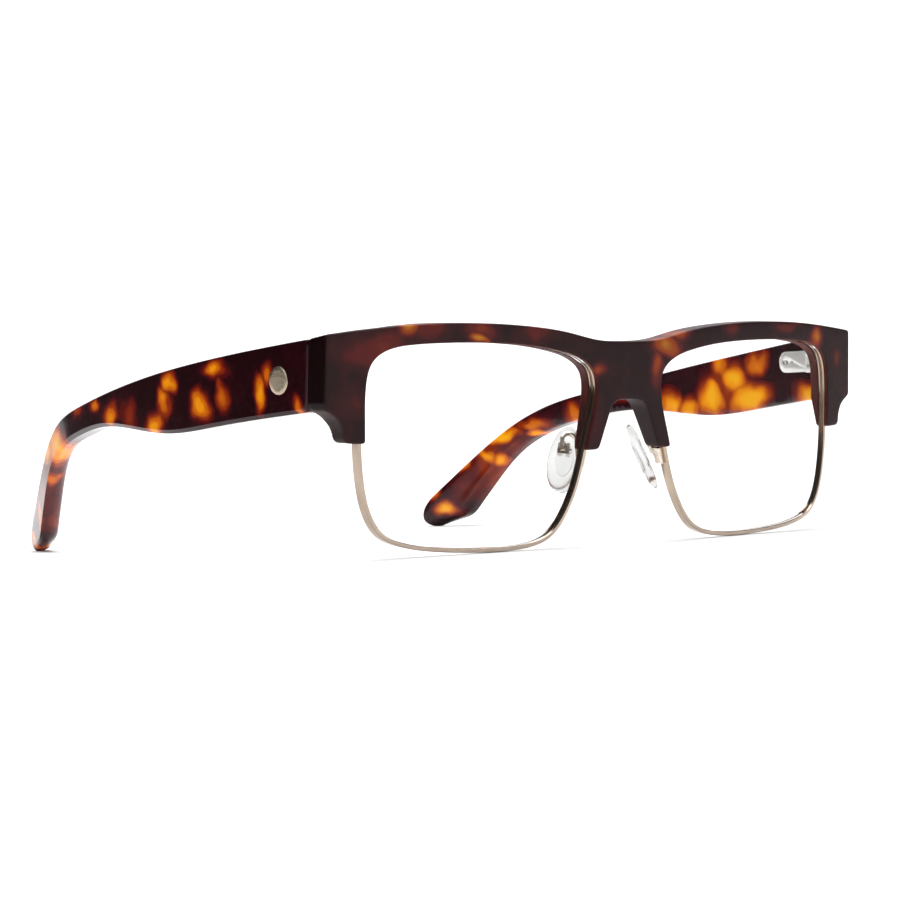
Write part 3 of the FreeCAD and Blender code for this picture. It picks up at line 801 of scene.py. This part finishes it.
def warm_edge(m, colour):
    """Painted glow: a warmer colour mixed into the inward and downward faces round the lens openings,
    standing for light that comes through the thin edge.
    """
    coordinates = m.add("ShaderNodeTexCoord")
    facing = m.add("ShaderNodeSeparateXYZ", None, Vector=coordinates.outputs["Normal"])
    across = m.add("ShaderNodeSeparateXYZ", None, Vector=coordinates.outputs["Object"]).outputs["X"]
    inward = m.range(m.math("ABSOLUTE", facing.outputs["Y"]), 0.9, 0.5, smooth=True)
    below = m.range(facing.outputs["Z"], 0.3, 0.1, smooth=True)
    far = m.math("ABSOLUTE", across)
    after_leg = m.range(far, EDGE_GLOW_START[0] * MM, EDGE_GLOW_START[1] * MM)
    before_lug = m.range(far, EDGE_GLOW_END[1] * MM, EDGE_GLOW_END[0] * MM)
    within = m.math("MULTIPLY", after_leg, before_lug)
    share = m.math("MULTIPLY", m.math("MULTIPLY", inward, below), within)
    tint(m, m.math("MULTIPLY", share, EDGE_GLOW_SHARE), colour)


def side_mask(m):
    """1 on the polished side faces of the brow's end pieces, 0 elsewhere; it sets their lower roughness
    and where their painted shade goes.
    """
    coordinates = m.add("ShaderNodeTexCoord")
    facing = m.add("ShaderNodeSeparateXYZ", None, Vector=coordinates.outputs["Normal"]).outputs["X"]
    across = m.add("ShaderNodeSeparateXYZ", None, Vector=coordinates.outputs["Object"]).outputs["X"]
    turned = m.range(m.math("ABSOLUTE", facing), 0.6, 0.8, smooth=True)
    far = m.range(m.math("ABSOLUTE", across), END_FACES[0] * MM, END_FACES[1] * MM, smooth=True)
    return m.math("MULTIPLY", turned, far)


def metal(name, colour, roughness, brush, strength, metallic=1.0):
    """Polished or brushed metal; brush scales the point, so that a small number draws the streaks out."""
    m = Nodes(name)
    point = m.point()
    stretched = m.add("ShaderNodeMapping", None, Vector=point, Scale=brush).outputs["Vector"]
    streak = m.noise(stretched, 600, 4, 0.6).outputs["Fac"]
    cloud = m.noise(point, 160, 3).outputs["Fac"]
    dark = tuple(c * 0.86 for c in colour)
    m.set(m.shader, "Base Color", m.ramp(cloud, [(0.3, dark), (0.7, colour)]))
    m.set(m.shader, "Roughness", m.range(streak, 0.3, 0.7, roughness[0], roughness[1]))
    m.shader.inputs["Metallic"].default_value = metallic
    m.bump(streak, strength, BRUSH_DEPTH)
    return m.material


def clear(name, colour, roughness, ior, grain):
    """A see-through solid, with a faint cloud in its colour and its polish."""
    m = Nodes(name)
    point = m.point()
    m.shader.inputs["Transmission Weight"].default_value = 1.0
    m.shader.inputs["IOR"].default_value = ior
    cloud = m.noise(point, 220, 3).outputs["Fac"]
    faint = tuple(c * 0.97 for c in colour)
    m.set(m.shader, "Base Color", m.ramp(cloud, [(0.3, faint), (0.7, colour)]))
    m.set(m.shader, "Roughness", m.range(cloud, 0.3, 0.7, roughness[0], roughness[1]))
    m.bump(m.noise(point, grain[0], 3).outputs["Fac"], grain[1], BUMP_DEPTH)
    return m.material


# the acetates' colours, from the dark ground to the heart of a flame
BROW_STOPS = [
    (0.0, (0.018, 0.0062, 0.0072)),
    (0.2, (0.036, 0.0080, 0.0085)),
    (0.42, (0.095, 0.0125, 0.011)),
    (0.7, (0.27, 0.045, 0.008)),
    (1.0, (0.46, 0.17, 0.012)),
]
TEMPLE_STOPS = [
    (0.0, (0.0130, 0.0004, 0.0020)),
    (0.15, (0.024, 0.0007, 0.0028)),
    (0.32, (0.085, 0.0035, 0.0030)),
    (0.5, (0.26, 0.024, 0.002)),
    (0.7, (0.62, 0.13, 0.002)),
    (0.88, (0.88, 0.31, 0.003)),
    (1.0, (0.95, 0.43, 0.008)),
]

# warm spots: place in the level frame, half widths and strength
BROW_SPOTS = [
    ((-63, 4, -1.5), (7, 9, 3.6), 0.46),
    ((-55.3, 4, 1.8), (2.2, 6, 1.6), 0.80),
    ((-50, 4, 1.6), (5, 7, 2.6), 0.44),
    ((-38.6, 3, -0.6), (2.4, 6, 1.0), 0.95),
    ((-38.6, 3, 1.4), (4.0, 7, 2.0), 0.50),
    ((-25, 3, 0.8), (4.5, 7, 2.0), 0.38),
    ((-66, 4, -12), (4, 6, 3.0), 0.24),
    ((-8, 3, -6.8), (1.6, 5, 1.5), 0.58),
    ((-11, 3, -15), (3, 7, 6.0), 0.26),
    ((11, 3, -2.0), (5.0, 8, 2.6), 0.88),
    ((15, 3, 0.5), (3.0, 7, 1.4), 0.78),
    ((8, 3, -7.0), (1.8, 7, 4.0), 0.70),
    ((30, 3, 1.7), (2.4, 7, 1.6), 0.46),
    ((48.6, 3, 2.2), (4, 7, 1.2), 0.40),
    ((59.4, 4, -1.0), (2.4, 7, 2.4), 0.80),
    ((68, 4, -5.1), (1.4, 5, 1.9), 0.52),
]
TEMPLE_SPOTS = [
    ((-74, 13, -12.5), (6, 1.2, 2.0), 0.58),
    ((-76, 24, -10.5), (6, 1.7, 4.2), 0.84),
    ((-76, 21.5, -6.0), (6, 1.5, 3.0), 0.60),
    ((-78, 36, -4), (6, 3.8, 1.9), 0.88),
    ((-78, 34, -9.0), (6, 1.5, 4.0), 0.62),
    ((-78, 40, -11.5), (6, 3.2, 3.0), 0.82),
    ((-79, 51, -6.6), (6, 2.4, 2.6), 0.86),
    ((-79, 53.5, -10), (6, 2.4, 3.6), 0.82),
    ((-79, 57.5, -13.5), (6, 3.2, 2.6), 0.88),
    ((-77, 68, -13), (6, 4.0, 2.0), 0.45),
    ((-77, 75, -13), (6, 3.6, 2.2), 0.80),
    ((-76, 83, -10), (6, 2.6, 1.8), 0.66),
    ((-75, 91, -12), (6, 3.5, 1.6), 0.55),
    ((-71, 105, -18), (6, 6.5, 4.5), 0.92),
    ((-69, 112, -19.0), (6, 5.5, 3.6), 0.92),
    ((-69, 112, -26.0), (6, 3.2, 2.4), 0.74),
    ((-64, 121, -29), (5, 2.6, 3.0), 0.56),
    ((-62, 125, -34), (6, 3.5, 4), 0.75),
    ((-59, 132, -40), (6, 3, 2), 0.9),
    ((-65, 116, -27), (16, 16, 16), 0.34),
    ((71, 19, -12), (9, 4.2, 3.2), 1.0),
    ((74, 45, -10), (9, 9.5, 5.0), 0.54),
    ((74, 36, -5), (9, 3.2, 2.4), 0.70),
    ((74, 39, -12), (9, 6.0, 4.0), 1.05),
    ((74, 43, -8), (9, 4.5, 3.0), 0.95),
    ((74, 48, -5.5), (9, 3.6, 3.0), 0.76),
    ((74, 51, -13), (9, 5.5, 4.0), 1.05),
    ((74, 59, -14.5), (9, 4.5, 3.0), 0.86),
    ((74, 66, -13.5), (9, 4.0, 3.0), 1.0),
    ((72, 80, -9), (9, 5.0, 3.0), 0.85),
    ((70, 92, -14.5), (9, 4.5, 2.4), 0.62),
    ((66, 105.5, -17.5), (9, 5.5, 1.6), 0.70),
    ((66, 105, -19.5), (9, 2.6, 1.8), 0.88),
    ((63, 113, -20.0), (9, 4.6, 2.0), 0.98),
    ((63, 114.5, -25.5), (5, 2.8, 2.4), 1.0),
    ((61.5, 118, -24.0), (5, 3.6, 1.8), 0.92),
    ((59, 125, -28.8), (5, 2.4, 1.8), 0.90),
    ((57.5, 127.5, -38.5), (6, 3.4, 1.8), 0.98),
    ((56, 132, -34.5), (5, 3.0, 2.2), 0.78),
    ((62, 117, -24), (16, 16, 14), 0.40),
]


# ---------------------------------------------------------------- stage, lights, camera

CAMERA_PLACE = (-417.19, -508.4, 26.6)
CAMERA_FORWARD = Vector((0.6416, 0.7670, -0.0103)).normalized()
CAMERA_UP = Vector((0.0315, -0.0129, 0.9994))
CAMERA_LENS = 119.0
CAMERA_SENSOR = 36.0

# the sheet of paper, in metres: where it starts, where it has narrowed, the bend at its back, and its top
PAPER_START = -5.0
PAPER_NARROWS = -1.0
PAPER_BACK = 1.1
PAPER_BEND = 0.5
PAPER_TOP = 1.8
PAPER_NEAR = 4.0
PAPER_FAR = 1.25


def add_camera():
    data = bpy.data.cameras.new("camera")
    data.sensor_width = CAMERA_SENSOR
    data.lens = CAMERA_LENS
    data.clip_start = 0.01
    camera = add_object("camera", data)
    right = CAMERA_FORWARD.cross(CAMERA_UP).normalized()
    up = right.cross(CAMERA_FORWARD)
    turn = Matrix((right, up, -CAMERA_FORWARD)).transposed()
    camera.matrix_world = Matrix.Translation(Vector(CAMERA_PLACE) * MM) @ turn.to_4x4()
    scene.camera = camera


def area_light(name, place, target, size, power):
    lamp = bpy.data.lights.new(name, "AREA")
    lamp.shape = "RECTANGLE"
    lamp.size, lamp.size_y = size
    lamp.energy = power
    holder = add_object(name, lamp)
    holder.location = place
    holder.rotation_euler = (Vector(target) - Vector(place)).to_track_quat("-Z", "Y").to_euler()


def paper_sweep():
    """A sheet of paper under the object that curves up behind it."""
    view = Vector((CAMERA_FORWARD.x, CAMERA_FORWARD.y, 0)).normalized()
    across = Vector((view.y, -view.x, 0))
    profile = [(PAPER_START, 0.0, PAPER_NEAR), (PAPER_NARROWS, 0.0, PAPER_NEAR)]
    for k in range(17):
        angle = math.pi / 2 * k / 16
        run = PAPER_BACK + PAPER_BEND * math.sin(angle)
        profile.append((run, PAPER_BEND * (1 - math.cos(angle)), PAPER_FAR))
    profile.append((PAPER_BACK + PAPER_BEND, PAPER_TOP, PAPER_FAR))
    vertices, faces = [], []
    for run, height, half in profile:
        for side in (-1, 1):
            vertices.append(view * run + across * side * half + Vector((0, 0, height)))
    for k in range(len(profile) - 1):
        faces.append((2 * k, 2 * k + 1, 2 * k + 3, 2 * k + 2))
    m = Nodes("paper")
    fibre = m.noise(m.point(), 60, 4).outputs["Fac"]
    m.set(m.shader, "Base Color", m.ramp(fibre, [(0.3, (0.93, 0.93, 0.93)), (0.7, (0.95, 0.95, 0.95))]))
    m.shader.inputs["Roughness"].default_value = 0.9
    m.shader.inputs["Specular IOR Level"].default_value = 0.0
    sheet = mesh_object("paper_sweep", vertices, faces, m.material)


# ---------------------------------------------------------------- build

brow_acetate = tortoise("brow_acetate_matte", BROW_SPOTS, BROW_STOPS, [(90, 0.006)], 0.16, (1800, 0.10))
brow_acetate.shader.inputs["Specular IOR Level"].default_value = 0.16
polish(brow_acetate, 0.42, 0.52, sides=0.10)
# painted glow round the lens openings, where light comes through the thin edge
warm_edge(brow_acetate, (0.16, 0.022, 0.008))
# painted shade: the side faces of the end pieces are darkened almost to black
end_face_painted_shade = brow_acetate.math("MULTIPLY", side_mask(brow_acetate), 0.85)
tint(brow_acetate, end_face_painted_shade, (0.004, 0.0008, 0.0012))
temple_acetate = tortoise("temple_acetate_gloss", TEMPLE_SPOTS, TEMPLE_STOPS, [(60, 0.010), (170, 0.003)],
                          0.18, (700, 0.02))
temple_acetate.shader.inputs["Specular IOR Level"].default_value = 0.3
polish(temple_acetate, 0.06, 0.11)
champagne = metal("champagne_polished", (0.45, 0.36, 0.29), (0.12, 0.20), (1, 1, 0.1), 0.04)
# a lighter copy of the champagne metal for the pad arms and boxes: painted highlight
painted_highlight_champagne = metal("champagne_painted_highlight", (0.80, 0.70, 0.60), (0.20, 0.32), (1, 1, 1), 0.04)
steel = metal("steel_satin", (0.86, 0.84, 0.81), (0.26, 0.36), (1, 0.1, 1), 0.06, metallic=0.6)
screw_steel = metal("screw_steel_bright", (0.75, 0.74, 0.72), (0.14, 0.22), (1, 1, 1), 0.05)
badge_finish = metal("badge_brushed", (0.50, 0.41, 0.31), (0.22, 0.36), (1, 0.08, 1), 0.12)
core_clear = clear("pad_core_hard", (0.95, 0.95, 0.945), (0.05, 0.10), 1.20, (500, 0.04))
core_wire = metal("core_wire_satin", (0.5, 0.47, 0.42), (0.3, 0.4), (1, 0.1, 1), 0.05)
silicone = clear("silicone_clear", (0.60, 0.60, 0.595), (0.16, 0.26), 1.24, (500, 0.06))
glass = clear("lens_glass", (0.997, 0.999, 0.998), (0.0, 0.004), 1.06, (120, 0.002))

SLOTS = {
    "brow_acetate": brow_acetate.material,
    "temple_acetate": temple_acetate.material,
    "champagne_metal": champagne,
    "badge_metal": badge_finish,
    "hinge_steel": steel,
    "screw_steel": screw_steel,
    "pad_core_clear": core_clear,
    "core_wire": core_wire,
    "pad_silicone": silicone,
    "lens_clear": glass,
}
for name, node in nodes.items():
    for holder in node.material_slots:
        holder.material = SLOTS[holder.material.name]
        # the pad arms and boxes take the lighter copy of the champagne, a painted highlight
        if name.startswith(("nose_pad_arm", "nose_pad_box")):
            holder.material = painted_highlight_champagne

outline, open_side = brow_outline()
brow = plate("brow", outline, brow_rows(open_side), brow_place, brow_acetate.material)
cut_lug_holes(brow)
stand_in(brow, "brow_front", "front")

side_outline, low_edge = temple_outline()
side_rows = temple_rows(side_outline, low_edge)
for side in ("left", "right"):
    mirror = side == "right"
    rim = sweep("rim_" + side, rim_path(), rim_profile(), rim_place, champagne, mirror)
    stand_in(rim, "eyewire_" + side, "front")
    arm = plate("side_arm_" + side, side_outline, side_rows, temple_place, temple_acetate.material,
                mirror, spacing=1.5)
    stand_in(arm, "temple_" + side, "side_arm_" + side)
    badge = badge_piece("badge_" + side, badge_finish, mirror)
    stand_in(badge, "temple_badge_" + side, "side_arm_" + side)
    softened_metal("nose_pad_box_" + side, "front", 0.22)
    softened_metal("hinge_housing_" + side, "side_arm_" + side, 0.16)
    softened_metal("hinge_front_leaf_" + side, "front", 0.12)
    squeezed_spring(side)
    pad = pad_piece("pad_" + side, silicone, mirror)
    stand_in(pad, "nose_pad_" + side, "pad_" + side)

add_camera()
paper_sweep()
area_light("top_box", (0.1, 0.1, 1.5), (0, 0, 0), (1.6, 1.6), 34)
area_light("back_wash", (0.4, 0.3, 1.4), (1.0, 1.2, 0.5), (1.4, 0.8), 16)
area_light("front_box", (0.5, -1.3, 0.7), (0, 0, 0.02), (0.9, 0.7), 4)
area_light("side_box", (-1.4, -0.1, 0.6), (0, 0, 0.02), (0.5, 0.9), 3)

world = bpy.data.worlds.new("studio")
world.use_nodes = True
world.node_tree.nodes["Background"].inputs["Color"].default_value = (0.08, 0.08, 0.082, 1)
scene.world = world
scene.view_settings.view_transform = "Standard"
